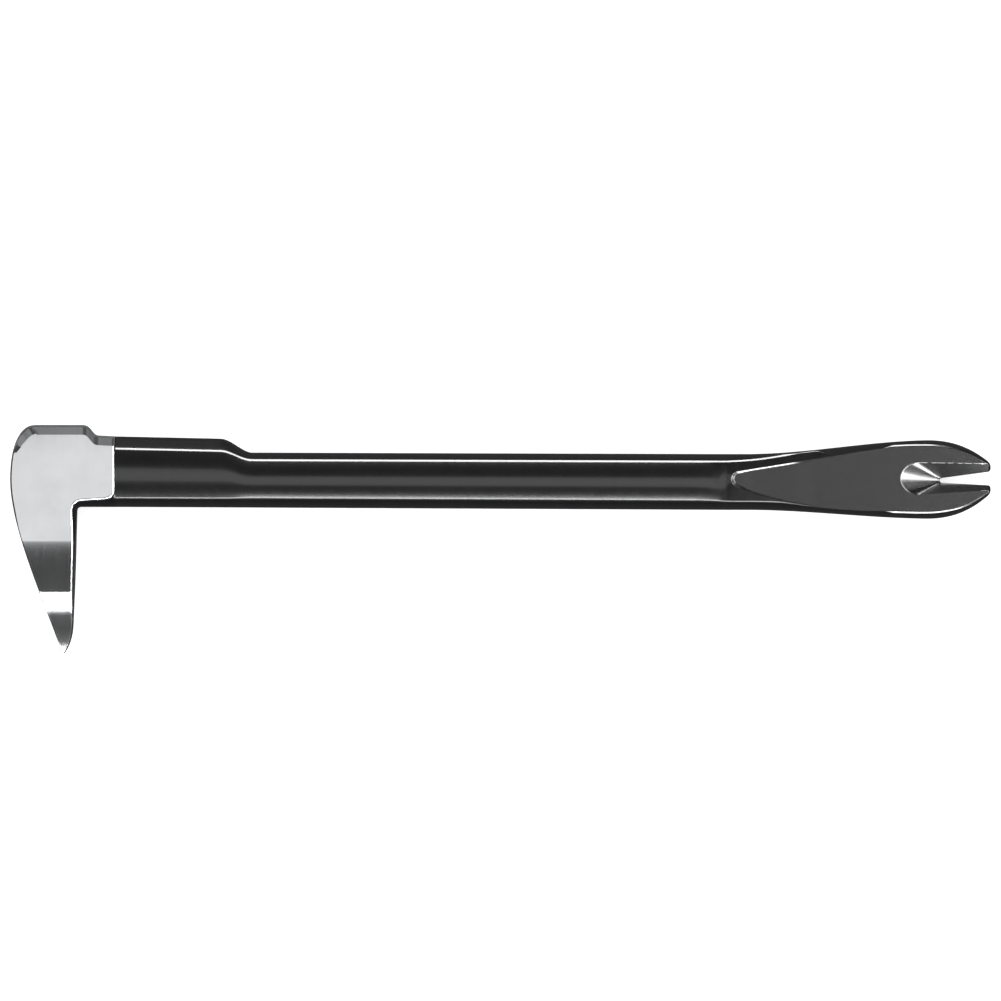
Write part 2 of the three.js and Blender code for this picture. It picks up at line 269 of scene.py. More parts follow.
def flat_offset(x, side):
    """Distance from the outline in to the edge of the blade's flat, straight across the bar."""
    line = ARM_LINES[side]
    arm = abs(outline(x, side) - np.interp(x, line[:, 0], line[:, 1]))
    start, end = line[-1][0], RIGHT - 14
    width = BLADE_BEVEL_TOP if side > 0 else BLADE_BEVEL_BOTTOM
    arm_end = abs(outline(start, side) - line[-1][1])
    beside = mix(mix(arm_end, width, ease(start, end, x)), TINE_BEVEL, reach(end, RIGHT, x) ** 1.5)
    return arm if x < start else beside


def bevel_width(x, side):
    if side > 0:
        shank = mix(NECK_BEVEL, TOP_BEVEL, ease(*NECK_STEP, x))
        if x > UPPER_BAND_X[0]:
            return flat_offset(x, side) * reach(*UPPER_BAND_X, x)
        return shank * (1 - reach(BLADE_JOIN_X, UPPER_BAND_X[0], x) ** 1.4)
    return min(BOTTOM_BEVEL, flat_offset(x, side)) if x > BLADE_JOIN_X else BOTTOM_BEVEL


def bevel_steepness(x, side):
    return mix(NECK_STEEPNESS, 1.0, ease(*NECK_STEP, x)) if side > 0 else 1.0


def slot_edges(x):
    """Y of the two edges of the nail slot. They meet on its axis left of the root."""
    centre = SLOT_ROOT_Y + SLOT_RISE * (x - SLOT_ROOT_X)
    past = max(0.0, x - SLOT_ROOT_X)
    rounded = SLOT_ROOT_HALF * math.sqrt(1 - max(0.0, 1 - past / SLOT_ROOT_HALF) ** 2)
    half = rounded + SLOT_SPREAD * past if past > 0 else 0.0
    return centre - half, centre + half


def slot_line():
    xs = SLOT_ROOT_X + spaced(0, 12, 1.2, 10, RIGHT - SLOT_ROOT_X + SPARE)
    low = np.array([(x, slot_edges(x)[0]) for x in xs])
    high = np.array([(x, slot_edges(x)[1]) for x in xs])
    return polyline(low[::-1], high)


def pocket_rim():
    angles = np.linspace(-math.pi / 2, math.pi / 2, 49)
    xs = POCKET_X + POCKET_ROUND - POCKET_ROUND * np.cos(angles)
    rounded = np.stack([xs, POCKET_Y + POCKET_HALF * np.sin(angles)], 1)
    end = RIGHT + SPARE
    low, high = POCKET_Y - POCKET_HALF + POCKET_DRAFT[-1], POCKET_Y + POCKET_HALF - POCKET_DRAFT[1]
    return polyline([(end, low), tuple(rounded[0])], rounded, [tuple(rounded[-1]), (end, high)])


SLOT_LINE = slot_line()
POCKET_RIM = pocket_rim()


def pocket_height(x, y):
    """Height of the funnel that leads a nail head down to the slot, or more than the flat's outside it."""
    points = at(x, y)
    near, to_slot = nearest_on(SLOT_LINE, points)
    away = (points - near) / np.maximum(to_slot, 1e-6)[:, None]
    run = ray_length(near, away, POCKET_RIM)
    to_rim = distance_to(POCKET_RIM, points)
    within = inside(POCKET_RIM, points)
    flat = flat_height(x)
    rim_flat = flat_height(near[:, 0] + away[:, 0] * run)
    funnel = mix(SLOT_LAND, rim_flat, np.clip(to_slot / run, 0, 1))
    return np.where(within, soft_min(flat, funnel, POCKET_CREASE), flat + to_rim)


def line_width(x, side):
    """Width of the narrow chamfer that catches the light between a broad face and its bevel."""
    out, gone, back, full = LINE_GAP_X
    before = 1 - ease(out, gone, x) if side > 0 else 0.0
    return LINE_WIDTH * (before + ease(back, full, x) * (1 - reach(RIGHT - 6, RIGHT, x) * 0.5))


def crease_at(x, side):
    """Blend between a face and its bevel. It is wide only under the shank, where no chamfer runs."""
    shank = CREASE if side < 0 else CRISP
    return mix(shank, CRISP, ease(LINE_GAP_X[0], LINE_GAP_X[1], x))


def away_from_flat(x, y):
    points = at(x, y)
    return np.where(inside(U_LOOP, points), 0.0, distance_to(U_LINE, points))


def apron_height(x, away):
    """Plain slopes that fall away from the edge of the blade's flat on all sides."""
    return flat_height(max(x, TONGUE_X)) - RING_SLOPE * (1 - ease(*RING_END_X, x)) * away


def valley_height(face, apron, away):
    """The shank's face sinks towards the nose of the U and then turns up to it."""
    sunk = face - DIP * (1 - reach(DIP_RISE, DIP_REACH, away)) ** 1.7
    return -soft_min(-sunk, -apron, VALLEY)


def beside_tongue(face, x, y):
    """The crowned face with its valley, turning into plain slopes further along the tongue."""
    away = away_from_flat(x, y)
    apron = apron_height(x, away)
    return mix(valley_height(face, apron, away), apron, ease(*RING_X, x))


def bar_height(x, y):
    """Height of the upper surface of the shank or the blade above the mid-plane, for an array of y."""
    low, high = bottom_edge(x), top_edge(x)
    below, above = bevel_width(x, -1), bevel_width(x, 1)
    centre, half = (low + below + high - above) / 2, (high - above - low - below) / 2
    across = (y - centre) / half
    face = EDGE + CROWN * (1 - across * across)
    edges = {-1: EDGE, 1: EDGE}
    if x > TONGUE_X - DIP_REACH:
        brinks = np.array([low + below, high - above])
        at_low, at_high = beside_tongue(np.full(2, EDGE), x, brinks)
        edges = {-1: at_low, 1: at_high}
        face = with_tongue(beside_tongue(face, x, y), x, y)
    if x > POCKET_X - 1:
        face = np.minimum(face, pocket_height(x, y))
    for side, gap, width in ((-1, y - low, below), (1, high - y, above)):
        blend = crease_at(x, side)
        line = line_width(x, side)
        tilt = TOP_LINE_SLOPE if side > 0 else BOTTOM_LINE_SLOPE
        bevel = edges[side] - tilt * line - bevel_steepness(x, side) * (width - line - gap)
        if line > 0.01:
            face = soft_min(face, edges[side] - tilt * (width - gap), blend)
        face = soft_min(face, bevel, blend)
    return face


def with_tongue(face, x, y):
    """Sinks the flat a small step below the lip of the U."""
    points = at(x, y)
    near, away = nearest_on(U_LINE, points)
    inward = np.where(inside(U_LOOP, points), away, -away)
    along = ease(0.3, 6.0, near[:, 0] - TONGUE_X)
    width = mix(*LIP_WIDTH, along)
    slope = mix(*LIP_SLOPE, ease(1.0, 3.0, near[:, 0] - TONGUE_X))
    step = width * slope * (1 - ease(*LIP_END_X, x))
    sunk = flat_height(x) - step * reach(0, width, inward)
    if x >= RING_X[1]:
        sunk = np.minimum(sunk, face)
    return np.where(inward > 0, sunk, face)


# ---- skins ----
class Skin:
    """Collects grids of points with a value of brightness, welds them and makes one closed mesh."""

    def __init__(self):
        self.points, self.faces, self.count = [], [], 0

    def grid(self, rows, mirrored=True):
        """rows is stations by points by (x, y, z, bright). The mirror image in the mid-plane is added."""
        for sign in (1, -1) if mirrored else (1,):
            stations, length = rows.shape[:2]
            points = rows.reshape(-1, 4) * np.array([1, 1, sign, 1])
            index = np.arange(stations * length).reshape(stations, length) + self.count
            quads = np.stack([index[:-1, :-1], index[1:, :-1], index[1:, 1:], index[:-1, 1:]], -1)
            self.faces.append(quads.reshape(-1, 4)[:, ::sign])
            self.points.append(points)
            self.count += len(points)

    def cap(self, loop):
        """One flat face through a closed loop of (x, y, z, bright) points."""
        self.points.append(loop)
        self.faces.append([list(range(self.count, self.count + len(loop)))])
        self.count += len(loop)

    def build(self, name):
        points = np.concatenate(self.points)
        faces = [list(face) for group in self.faces for face in group]
        mesh = bpy.data.meshes.new(name)
        mesh.from_pydata(place(points[:, :3]).tolist(), [], faces)
        bright = mesh.attributes.new("bright", "FLOAT", "POINT")
        bright.data.foreach_set("value", points[:, 3].astype(np.float32))
        weld(mesh)
        mark_edges(mesh)
        piece = bpy.data.objects.new(name, mesh)
        bpy.context.scene.collection.objects.link(piece)
        return piece


def place(points):
    """Millimetres about the mid-plane to metres in the frame."""
    return (points + np.array([0, 0, MID_Z])) * MM


def weld(mesh):
    bm = bmesh.new()
    bm.from_mesh(mesh)
    bmesh.ops.remove_doubles(bm, verts=bm.verts, dist=WELD * MM)
    bmesh.ops.dissolve_degenerate(bm, edges=bm.edges, dist=WELD / 3 * MM)
    bmesh.ops.recalc_face_normals(bm, faces=bm.faces)
    for face in bm.faces:
        face.smooth = True
    for edge in bm.edges:
        edge.smooth = edge.calc_face_angle(0) < SHARP
    bm.to_mesh(mesh)
    bm.free()


def mark_edges(mesh):
    """Stores how sharply each point's surroundings fall away, which is where a coating wears."""
    count = len(mesh.vertices)
    places, normals = np.empty(count * 3), np.empty(count * 3)
    mesh.vertices.foreach_get("co", places)
    mesh.vertices.foreach_get("normal", normals)
    pairs = np.empty(len(mesh.edges) * 2, dtype=np.int32)
    mesh.edges.foreach_get("vertices", pairs)
    places, normals, pairs = places.reshape(-1, 3) / MM, normals.reshape(-1, 3), pairs.reshape(-1, 2)
    bend, links = np.zeros(count), np.zeros(count)
    for here, there in (pairs.T, pairs.T[::-1]):
        step = places[here] - places[there]
        fall = (normals[here] * step).sum(1) / np.maximum((step * step).sum(1), 1e-4)
        np.add.at(bend, here, fall)
        np.add.at(links, here, 1)
    bend /= np.maximum(links, 1)
    for _ in range(3):
        total = np.zeros(count)
        np.add.at(total, pairs[:, 0], bend[pairs[:, 1]])
        np.add.at(total, pairs[:, 1], bend[pairs[:, 0]])
        bend = mix(bend, total / np.maximum(links, 1), 0.5)
    edge = mesh.attributes.new("edge", "FLOAT", "POINT")
    edge.data.foreach_set("value", ease(0.05, 0.45, bend).astype(np.float32))


def rounded_rim(outer, inner, wall_foot, rim=RIM, wall_rows=4, rim_rows=5):
    """Points from the foot of a side wall up and over its rounded rim. outer and inner are (x, y, z) on the
    surface at the edge and one rim width in."""
    outer, inner = np.array(outer, float), np.array(inner, float)
    start = outer.copy()
    start[2] = max(wall_foot + 0.02, outer[2] - rim)
    wall = np.linspace([outer[0], outer[1], wall_foot], start, wall_rows + 1)
    share = np.linspace(0, 1, rim_rows + 1)[1:, None]
    over = (1 - share) ** 2 * start + 2 * (1 - share) * share * outer + share ** 2 * inner
    return np.concatenate([wall, over])


# ---- shank and blade ----
def feature_offset(x, side, width):
    """How far in from the edge the rows bunch up: at the edge of the flat, then at the pocket's rim."""
    ahead = max(x, TONGUE_X + 0.9)
    arm = flat_offset(ahead, side) + abs(outline(ahead, side) - outline(x, side))
    past = x - POCKET_X - POCKET_ROUND
    draft = POCKET_DRAFT[side] * (past / (RIGHT + SPARE - POCKET_X - POCKET_ROUND))
    rim = POCKET_Y + POCKET_HALF - draft if side > 0 else POCKET_Y - POCKET_HALF + draft
    pocket = abs(outline(x, side) - rim)
    offset = mix(arm, pocket, ease(PINCH_X, POCKET_X, x))
    return min(max(offset, bevel_width(x, side) + 1.2), width - 1.6)


def half_section(x, side):
    """Upper surface from the outer edge, the lower for side -1 and the upper for 1, to the middle line."""
    outer = outline(x, side)
    split = slot_edges(x)[1 if side > 0 else 0]
    split = mix((top_edge(x) + bottom_edge(x)) / 2, split, ease(PINCH_X, SLOT_ROOT_X - 8, x))
    width = abs(split - outer)
    rim = min(RIM, width * 0.12)
    if width > 4.5:
        bevel = max(bevel_width(x, side), 0.8)
        feature = feature_offset(x, side, width)
        near, far = max(bevel - LINE_WIDTH, rim + 0.1), min(bevel + 0.9, feature - 0.45)
        first, second = max(feature - 0.4, far + 0.1), min(feature + 1.1, width - 0.3)
    else:
        near, bevel, far = width * 0.18, width * 0.3, width * 0.4
        first, feature, second = width * 0.48, width * 0.58, width * 0.75
    offsets = spaced(rim, 3, near, 4, bevel, 5, far, 5, first, 3, feature, 8, second, 18, width)
    y = outer - side * offsets
    z = bar_height(x, y)
    corner = bar_height(x, np.array([outer]))[0]
    edge = rounded_rim((x, outer, corner), (x, y[0], z[0]), 0.0, rim)
    surface = np.stack([np.full_like(y, x), y, z], 1)[1:]
    points = np.concatenate([edge, surface])
    return round_tip(points, x, outer, split)


def round_tip(points, x, outer, split):
    """Draws a section in towards the middle of its tine near the end of the blade."""
    past = (x - (RIGHT - TIP_ROUND)) / TIP_ROUND
    if past <= 0:
        return points
    keep = max(0.0, 1 - past ** 2.6) ** (1 / 2.6)
    middle = (outer + split) / 2
    points[:, 1] = middle + (points[:, 1] - middle) * keep
    points[:, 2] *= max(0.0, 1 - past ** 3) ** (1 / 3)
    return points


def with_finish(points, bright=0.0):
    return np.concatenate([points, np.full((len(points), 1), bright)], 1)


def bar_grid(stations, side):
    return np.stack([with_finish(half_section(x, side)) for x in stations])


def end_cap(skin, lower, upper):
    """Closes a bar's cut end. lower and upper are the end sections of the two halves."""
    over = np.concatenate([lower, upper[::-1][1:]])
    under = over[::-1] * np.array([1, 1, -1, 1])
    skin.cap(np.concatenate([over, under[1:-1]]))


def build_shank():
    stations = spaced(HEAD_JOIN_X, 28, NECK_STEP[0] - 1.5, 34, NECK_STEP[1] + 1.5, 66, BLADE_JOIN_X - 4,
                      12, BLADE_JOIN_X)
    skin = Skin()
    lower, upper = bar_grid(stations, -1), bar_grid(stations, 1)
    skin.grid(lower)
    skin.grid(upper)
    for end in (0, -1):
        end_cap(skin, lower[end], upper[end])
    return skin.build("forged_shank")


def build_blade():
    stations = spaced(
        BLADE_JOIN_X, 6, TONGUE_X - 0.8, 12, TONGUE_X + 0.8, 16, TONGUE_X + 4, 64, POCKET_X - 1.2,
        18, POCKET_X + 2, 36, SLOT_ROOT_X - 0.4, 4, SLOT_ROOT_X, 12, SLOT_ROOT_X + 1.2,
        30, RIGHT - TIP_ROUND - 0.5, 18, RIGHT)
    skin = Skin()
    lower, upper = bar_grid(stations, -1), bar_grid(stations, 1)
    skin.grid(lower)
    skin.grid(upper)
    end_cap(skin, lower[0], upper[0])
    notched = stations >= SLOT_ROOT_X - 1e-6
    for half in (lower, upper):
        edge = half[notched][:, -1, :]
        share = np.linspace(0, 1, 4)[None, :, None]
        wall = edge[:, None, :] * np.array([1, 1, 0, 1]) * share + edge[:, None, :] * (1 - share)
        skin.grid(wall)
    return skin.build("forged_blade")


# ---- claw head ----
def outer_edge_line():
    """From the neck over the striking face and down the head's left side to the claw's tip."""
    slope = bezier((-114.8, 29.6), (-117.2, 29.6), (-117.2, FACE_Y), (-119.4, FACE_Y))
    corner = bezier((-133, FACE_Y), (-138.5, FACE_Y), (LEFT, 24), (LEFT, 17), 30)
    claw = bezier((LEFT, 17), (LEFT, 4), (-131.2, -15.7), (-125.4, TIP_Y), 60)
    return polyline([(HEAD_JOIN_X, NECK_TOP[0])], slope, corner, claw)


def throat_curve(count):
    base = SHANK_BOTTOM[0]
    return bezier((THROAT_X, base), (-120.75, base), (-121.22, 8.6), (-121.24, THROAT_Y), count)


def inner_edge_line():
    """From the neck along its underside, round the throat and down the claw's inner edge to its tip."""
    down = np.linspace((-121.24, THROAT_Y), (-122.3, -24.6), 25)
    tip = bezier((-122.3, -24.6), (-122.5, -28.5), (-123.6, -31), (-124.8, TIP_Y), 20)
    return polyline([(HEAD_JOIN_X, SHANK_BOTTOM[0])], throat_curve(16), down, tip)


def inner_band(y):
    """Width of the dark band between the claw's ground cheek and its inner edge."""
    return np.interp(-y, [-THROAT_Y, 0.4, 14.7, -TIP_Y], [1.1, 0.5, 0.36, 0.3])


def cheek_loop(inner):
    """The ground cheek: it keeps clear of the throat, and its edge stands just short of the neck."""
    x = HEAD_JOIN_X - STEP
    corner = bezier((x, 14.2), (x, 12.2), (x - 1.2, 11.35), (x - 3.4, 11.3), 10)
    throat = bezier((-119.6, 10.9), (-121.3, 10.75), (-122.25, 9.9), (-122.35, THROAT_Y - 0.4), 12)
    claw = inner[inner[:, 1] < THROAT_Y - 0.5]
    low = np.stack([claw[:, 0] - inner_band(claw[:, 1]), claw[:, 1]], 1)
    return polyline([(x, NECK_TOP[0] + 4)], corner, throat, low,
                    [(low[-1, 0], TIP_Y - 4), (LEFT - 6, TIP_Y - 4), (LEFT - 6, FACE_Y + 4)])


OUTER_LINE = outer_edge_line()
INNER_LINE = inner_edge_line()
CHEEK_LOOP = cheek_loop(INNER_LINE)
CHEEK_BORDER = np.concatenate([CHEEK_LOOP, CHEEK_LOOP[:1]])


def taper_line():
    """How far the cheeks are ground back at each depth below the neck, from their tilt in degrees there."""
    tilts = [(0.2, 0), (0.6, 4.3), (15.0, 10.1), (15.02, 17.7), (18.3, 16.4), (19.6, 15.6), (20.7, 14.4),
             (22.0, 11.0), (25.2, 9.5), (29.0, 12.0), (31.0, 15.2), (33.0, 14.8)]
    depths = np.linspace(0.0, -TIP_Y, 3261)
    slopes = np.tan(np.radians(np.interp(depths, *np.array(tilts).T)))
    drops = np.concatenate([[0], np.cumsum((slopes[1:] + slopes[:-1]) / 2 * np.diff(depths))])
    return np.stack([depths, drops], 1)


TAPER_LINE = taper_line()


def claw_taper(y):
    """Half thickness of the head seen from its end: flat cheeks, then facets down to the claw's tip."""
    up = reach(TOP_TAPER_Y, FACE_Y, y)
    top = math.tan(math.radians(TOP_TAPER)) * (FACE_Y - TOP_TAPER_Y) * (up * up - up ** 3 / 3)
    return CHEEK - top - np.interp(-y, TAPER_LINE[:, 0], TAPER_LINE[:, 1])


def head_bevel(outer):
    """Width and height of the top bevel at a place on the outer edge. It runs out down the left side."""
    keep = 1.0 if outer[0] > -128 and outer[1] > 0 else ease(25.0, 31.0, outer[1])
    return HEAD_BEVEL_WIDTH * mix(0.5, 1.0, keep), HEAD_BEVEL_HEIGHT * keep


def head_height(points, inset, gap, bevel):
    """Height and brightness of the head's upper surface. inset is the distance from the inner edge and gap
    the distance from the outer edge, both along the station's line. bevel is the top bevel there."""
    y = points[:, 1]
    width, height = bevel
    border = distance_to(CHEEK_BORDER, points)
    inward = np.where(inside(CHEEK_LOOP, points), border, -border)
    lip = LIP_DROP * np.maximum(0.0, 1 - np.maximum(inward, 0) / LIP_REACH) ** 2 * (1 - ease(-15, -27, y))
    cheek = claw_taper(y) - height * np.maximum(1 - gap / width, 0) - lip
    neck = bar_height(HEAD_JOIN_X, np.minimum(SHANK_BOTTOM[0] + inset, NECK_TOP[0]))
    claw = cheek + 2 * LIP_DROP / LIP_REACH * np.minimum(inward, 0)
    lift = ease(5.0, -9.0, y)
    beside = mix(np.minimum(neck, cheek), claw, lift)
    share = ease(-STEP, 0.0, inward) * (1 - lift) + (inward > 0) * lift
    return mix(beside, cheek, share), ease(-0.15, 0.1, inward)


def head_stations():
    """Pairs of points on the inner and the outer edge: across the neck, fanned round the throat, then
    level down the claw."""
    arc = np.concatenate([[0], np.cumsum(np.linalg.norm(np.diff(OUTER_LINE, axis=0), axis=1))])

    def on_outer(length):
        return np.array([np.interp(length, arc, OUTER_LINE[:, axis]) for axis in (0, 1)])

    upper = OUTER_LINE[:, 1] > 17
    right_to_left = OUTER_LINE[upper]
    claw = OUTER_LINE[OUTER_LINE[:, 0].argmin():]
    claw_arc = arc[OUTER_LINE[:, 0].argmin():]
    inner_claw = INNER_LINE[INNER_LINE[:, 1] < THROAT_Y + 0.1]
    pairs = []
    for x in spaced(HEAD_JOIN_X, 4, HEAD_JOIN_X - 0.15, 12, HEAD_JOIN_X - 1, 30, THROAT_X):
        top = np.interp(-x, -right_to_left[:, 0], right_to_left[:, 1])
        pairs.append((np.array([x, SHANK_BOTTOM[0]]), np.array([x, top])))
    fan_start = np.interp(-THROAT_X, -right_to_left[:, 0], arc[upper])
    fan_end = np.interp(-THROAT_Y, -claw[:, 1], claw_arc)
    for share, inner in zip(np.linspace(0, 1, 97)[1:], throat_curve(96)[1:]):
        pairs.append((inner, on_outer(mix(fan_start, fan_end, share))))
    levels = spaced(THROAT_Y, 16, -0.2, 3, -0.6, 28, -14.95, 1, -15.01, 12, -20.7, 8, -22.2, 24, TIP_Y + 1,
                    10, TIP_Y)
    for y in np.unique(np.append(levels[1:], NOTCH_ROOT_Y))[::-1]:
        left = np.interp(-y, -claw[:, 1], claw[:, 0])
        right = np.interp(-y, -inner_claw[:, 1], inner_claw[:, 0])
        pairs.append((np.array([right, y]), np.array([left, y])))
    return pairs


def notch_half(y):
    """Half width of the claw's V notch at height y on the claw."""
    past = max(0.0, NOTCH_ROOT_Y - y)
    rounded = NOTCH_ROOT_HALF * math.sqrt(1 - max(0.0, 1 - past / NOTCH_ROOT_HALF) ** 2)
    spread = (NOTCH_MOUTH_HALF - NOTCH_ROOT_HALF) / (NOTCH_ROOT_Y - TIP_Y)
    return rounded + spread * past if past > 0 else 0.0


def border_offset(inner, direction):
    """How far along a station's line the border of the ground cheek lies."""
    start = np.array([min(inner[0], HEAD_JOIN_X - STEP - 0.02), inner[1]])
    return ray_length(start[None], direction[None], CHEEK_BORDER)[0]


def head_offsets(width, rim, border, crease):
    """Distances from the inner edge, bunched up at the cheek's border and at the top bevel."""
    near = min(max(border - STEP, rim + 0.02), width * 0.3)
    lip = min(max(border, rim) + LIP_REACH, width * 0.45)
    last = width - rim
    far = max(width - crease - 0.9, mix(lip, last, 0.5))
    bevel = max(width - crease, mix(lip, last, 0.75))
    return spaced(rim, 5, near, 14, lip, 12, far, 4, bevel, 8, last)


def head_section(inner, outer):
    width = np.linalg.norm(outer - inner)
    direction = (outer - inner) / width
    rim = min(mix(RIM, CLAW_RIM, ease(SHANK_BOTTOM[0], 2.0, inner[1])), width * 0.2)
    bevel, fall = head_bevel(outer)
    if outer[1] > FACE_Y - 0.1 and outer[0] < -119:
        bevel /= abs(direction[1])
    offsets = head_offsets(width, rim, border_offset(inner, direction), max(bevel, 1.0))
    along = inner + direction * offsets[:, None]
    z, bright = head_height(along, offsets, width - offsets, (bevel, fall))
    corners = np.stack([inner, outer])
    insets = np.array([0, width])
    corner_z, corner_bright = head_height(corners, insets, width - insets, (bevel, fall))
    foot = notch_half(inner[1]) if inner[1] < NOTCH_ROOT_Y and inner[0] < -120 else 0.0
    surface = np.column_stack([along, z, bright])
    first = rounded_rim((*inner, corner_z[0]), surface[0, :3], foot, rim)
    last = rounded_rim((*outer, corner_z[1]), surface[-1, :3], foot, rim)[::-1]
    section = np.concatenate([
        with_finish(first[:-1], corner_bright[0]), surface, with_finish(last[1:], corner_bright[1])])
    return section


def build_head():
    pairs = head_stations()
    rows = np.stack([head_section(inner, outer) for inner, outer in pairs])
    skin = Skin()
    skin.grid(rows)
    over = rows[0]
    under = over[::-1] * np.array([1, 1, -1, 1])
    skin.cap(np.concatenate([over, under[1:-1]]))
    notched = np.array([inner[1] <= NOTCH_ROOT_Y + 1e-6 for inner, _ in pairs])
    feet = rows[notched][:, [0, -1], :]
    share = np.linspace(0, 1, 25)[None, :, None]
    ceiling = feet[:, :1, :] * (1 - share) + feet[:, 1:, :] * share
    skin.grid(ceiling)
    tip = np.concatenate([rows[-1], ceiling[-1][::-1][1:-1]])
    skin.cap(tip)
    skin.cap(tip[::-1] * np.array([1, 1, -1, 1]))
    return skin.build("forged_head")


# ---- materials ----
COAT_COLOURS = ((0.004, 0.004, 0.0045, 1), (0.006, 0.006, 0.0065, 1))
COAT_WORN = (0.025, 0.024, 0.023, 1)
COAT_ROUGHNESS = (0.2, 0.22)
STEEL_COLOURS = ((0.56, 0.57, 0.58, 1), (0.63, 0.64, 0.65, 1))
STEEL_ROUGHNESS = (0.11, 0.14)
GRAIN = {"strength": 0.06, "distance": 0.000012}
IOR = 1.55


def shader(name):
    material = bpy.data.materials.new(name)
    material.use_nodes = True
    return material, material.node_tree.nodes, material.node_tree.links


def speckle(nodes, links, scale, stretch=(1, 1, 1), detail=3.0):
    """Noise in the piece's own place, with scale in cycles per metre, along each axis times stretch."""
    place_node = nodes.new("ShaderNodeTexCoord")
    mapping = nodes.new("ShaderNodeMapping")
    mapping.inputs["Scale"].default_value = stretch
    noise = nodes.new("ShaderNodeTexNoise")
    noise.inputs["Scale"].default_value = scale
    noise.inputs["Detail"].default_value = detail
    links.new(place_node.outputs["Object"], mapping.inputs["Vector"])
    links.new(mapping.outputs["Vector"], noise.inputs["Vector"])
    return noise.outputs["Fac"]


def ranged(nodes, links, value, source, target):
    """Maps value from one range of numbers to another."""
    node = nodes.new("ShaderNodeMapRange")
    node.inputs["From Min"].default_value, node.inputs["From Max"].default_value = source
    node.inputs["To Min"].default_value, node.inputs["To Max"].default_value = target
    links.new(value, node.inputs["Value"])
    return node.outputs["Result"]


def attribute(nodes, name):
    node = nodes.new("ShaderNodeAttribute")
    node.attribute_name = name
    return node.outputs["Fac"]


def blended(nodes, links, share, first, second):
    """Mixes two colours, each a fixed colour or a socket."""
    node = nodes.new("ShaderNodeMix")
    node.data_type = "RGBA"
    links.new(share, node.inputs["Factor"])
    for socket, colour in ((node.inputs["A"], first), (node.inputs["B"], second)):
        if isinstance(colour, tuple):
            socket.default_value = colour
        else:
            links.new(colour, socket)
    return node.outputs["Result"]


def blended_value(nodes, links, share, first, second):
    node = nodes.new("ShaderNodeMix")
    links.new(share, node.inputs["Factor"])
    for socket, value in ((node.inputs["A"], first), (node.inputs["B"], second)):
        if isinstance(value, float):
            socket.default_value = value
        else:
            links.new(value, socket)
    return node.outputs["Result"]


def product(nodes, links, first, second):
    node = nodes.new("ShaderNodeMath")
    node.operation = "MULTIPLY"
    links.new(first, node.inputs[0])
    links.new(second, node.inputs[1])
    return node.outputs["Value"]


def coat_look(nodes, links):
    """Colour, roughness and height of the black coating: faint mottling, and a little wear on edges."""
    mottle = ranged(nodes, links, speckle(nodes, links, 220), (0.3, 0.7), (0, 1))
    chips = ranged(nodes, links, speckle(nodes, links, 1400, detail=6.0), (0.5, 0.62), (0, 1))
    worn = product(nodes, links, chips, attribute(nodes, "edge"))
    colour = blended(nodes, links, worn, blended(nodes, links, mottle, *COAT_COLOURS), COAT_WORN)
    roughness = ranged(nodes, links, speckle(nodes, links, 500), (0.3, 0.7), COAT_ROUGHNESS)
    return colour, roughness, speckle(nodes, links, 900, detail=1.0)


def steel_look(nodes, links):
    """Colour, roughness and height of the ground steel: fine lines left by the belt, across the head."""
    clouds = ranged(nodes, links, speckle(nodes, links, 90), (0.3, 0.7), (0, 1))
    colour = blended(nodes, links, clouds, *STEEL_COLOURS)
    lines = speckle(nodes, links, 2600, (1, 0.03, 0.03))
    roughness = ranged(nodes, links, lines, (0.3, 0.7), STEEL_ROUGHNESS)
    return colour, roughness, lines


def bumped(nodes, links, height):
    """The normal of a surface with a very shallow grain."""
    bump = nodes.new("ShaderNodeBump")
    bump.inputs["Strength"].default_value = GRAIN["strength"]
    bump.inputs["Distance"].default_value = GRAIN["distance"]
    links.new(height, bump.inputs["Height"])
    return bump.outputs["Normal"]


def black_coating():
    material, nodes, links = shader("black_coating")
    surface = nodes["Principled BSDF"]
    colour, roughness, height = coat_look(nodes, links)
    links.new(colour, surface.inputs["Base Color"])
    links.new(roughness, surface.inputs["Roughness"])
    links.new(bumped(nodes, links, height), surface.inputs["Normal"])
    surface.inputs["IOR"].default_value = IOR
    surface.inputs["Coat Weight"].default_value = 0.35
    surface.inputs["Coat Roughness"].default_value = 0.1
    return material


def ground_steel():
    """Ground steel, with the black coating where the attribute called bright is 0."""
    material, nodes, links = shader("ground_steel")
    surface = nodes["Principled BSDF"]
    bright = attribute(nodes, "bright")
    coat_colour, coat_roughness, coat_height = coat_look(nodes, links)
    steel_colour, steel_roughness, steel_height = steel_look(nodes, links)
    links.new(bright, surface.inputs["Metallic"])
    links.new(blended(nodes, links, bright, coat_colour, steel_colour), surface.inputs["Base Color"])
    roughness = blended_value(nodes, links, bright, coat_roughness, steel_roughness)
    links.new(roughness, surface.inputs["Roughness"])
    height = blended_value(nodes, links, bright, coat_height, steel_height)
    links.new(bumped(nodes, links, height), surface.inputs["Normal"])
    surface.inputs["IOR"].default_value = IOR
    return material


# ---- studio ----
FLOOR_HALF = 3.0
FLOOR_PALE = (0.85, 0.85, 0.85, 1)
FLOOR_IN_GLOSS = (0.12, 0.12, 0.12, 1)
FLOOR_GLOW = 0.6
ROOM_LIGHT = 1.2
WALL_IN_GLOSS = (0.13, 0.06)         # at the floor, and from WALL_HEIGHT up
WALL_HEIGHT = 0.3
LENS, SENSOR = 400, 36
FRAME_SHARE = 0.98                   # of the picture's width that the bar fills
VIEW_X, VIEW_Y = -0.00015, 0.01103   # the place in the middle of the picture
VIEW_RISE = 0.005                    # the bar fills that share this far above its mid-plane


